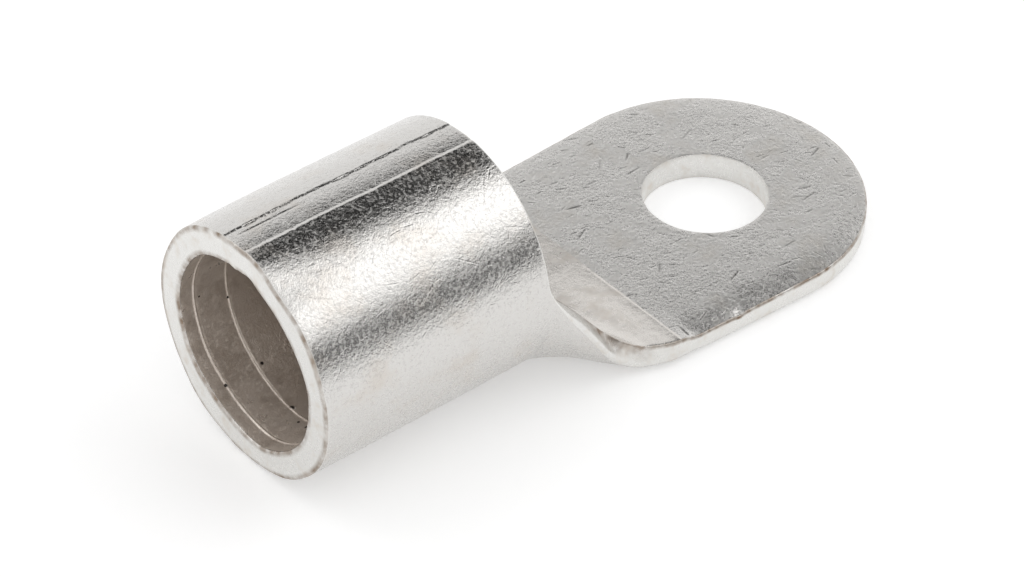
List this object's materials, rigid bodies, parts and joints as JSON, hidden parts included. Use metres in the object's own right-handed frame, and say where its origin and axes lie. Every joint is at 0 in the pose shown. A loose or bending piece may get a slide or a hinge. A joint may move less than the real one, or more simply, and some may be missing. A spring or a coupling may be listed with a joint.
{
  "type": "ring terminal",
  "caption": "Tin-plated copper ring terminal rolled from one sheet: a barrel to crimp on a cable, and a flat round palm with a stud hole.",
  "frame": {"origin": "centre of the stud hole on the palm's underside", "axes": "+X from the barrel towards the tip of the palm, +Z out of the palm's top face"},
  "size_m": [0.0488, 0.0216, 0.017],
  "materials": {
    "tinned_copper": "tin plate over copper, tumbled to a fine frosted surface"
  },
  "bodies": {
    "root": {"ring_terminal": "tinned_copper"}
  },
  "joints": []
}
